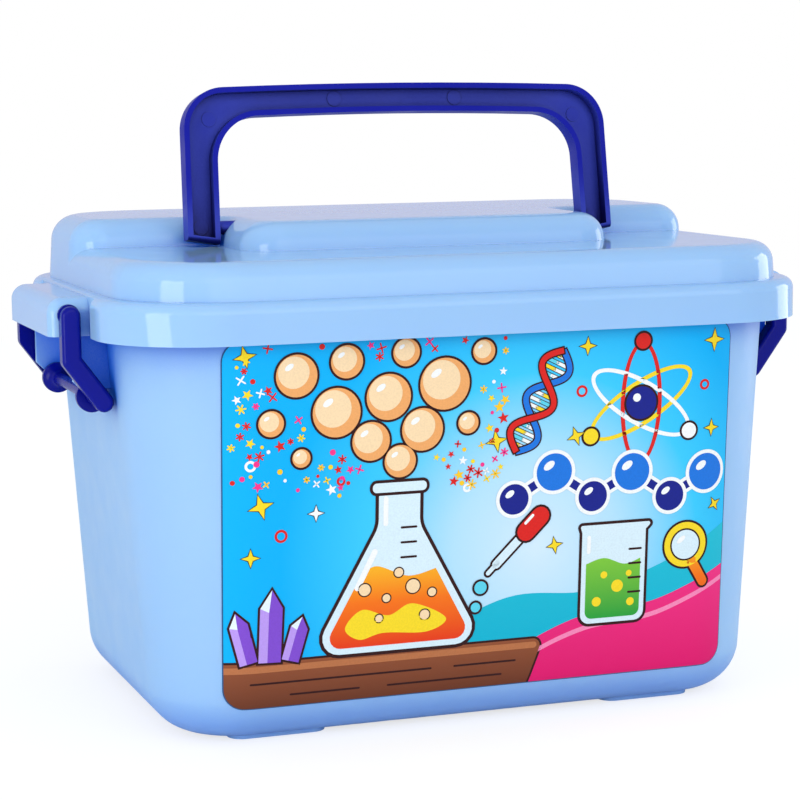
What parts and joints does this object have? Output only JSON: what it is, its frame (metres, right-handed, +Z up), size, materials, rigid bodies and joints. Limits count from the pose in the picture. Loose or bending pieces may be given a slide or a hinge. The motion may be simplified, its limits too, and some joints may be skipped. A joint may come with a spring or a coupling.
{
  "type": "chemistry set case",
  "caption": "Tapered plastic carry case with a stepped lift-off lid, folding U handle, swing bail latches on both ends and a printed front label.",
  "frame": {"origin": "centre of the bounding box's footprint, on the plane of the feet", "axes": "+X to the right along the long side, -Y out of the label side, +Z up"},
  "size_m": [0.322, 0.208, 0.2557],
  "materials": {
    "light_blue_plastic": "smooth glossy polypropylene, light blue, slightly cloudy",
    "navy_plastic": "smooth glossy polypropylene, deep navy blue",
    "printed_label": "glossy printed film in cyan, teal, pink, brown and orange"
  },
  "bodies": {
    "tub": {"tub": "light_blue_plastic", "front_label": "printed_label"},
    "lid": {"lid": "light_blue_plastic"},
    "handle": {"carry_handle": "navy_plastic"},
    "latch_left": {"latch_left": "navy_plastic"},
    "latch_right": {"latch_right": "navy_plastic"}
  },
  "joints": [
    {"name": "lid_lift", "type": "slide", "parent": "tub", "child": "lid", "axis": [0, 0, 1], "range_m": [0, 0.028]},
    {"name": "handle_fold", "type": "hinge", "parent": "lid", "child": "handle", "pos_m": [0, 0.0014, 0.197], "axis": [1, 0, 0], "range_deg": [0, 101]},
    {"name": "latch_left_swing", "type": "hinge", "parent": "lid", "child": "latch_left", "pos_m": [-0.1535, 0, 0.1674], "axis": [0, 1, 0], "range_deg": [0, 160.5]},
    {"name": "latch_right_swing", "type": "hinge", "parent": "lid", "child": "latch_right", "pos_m": [0.1535, 0, 0.1674], "axis": [0, -1, 0], "range_deg": [0, 160.5]}
  ],
  "couplings": [
    {"joint": "latch_left_swing", "follows": "lid_lift", "rad_per_m": 100},
    {"joint": "latch_right_swing", "follows": "lid_lift", "rad_per_m": 100}
  ]
}
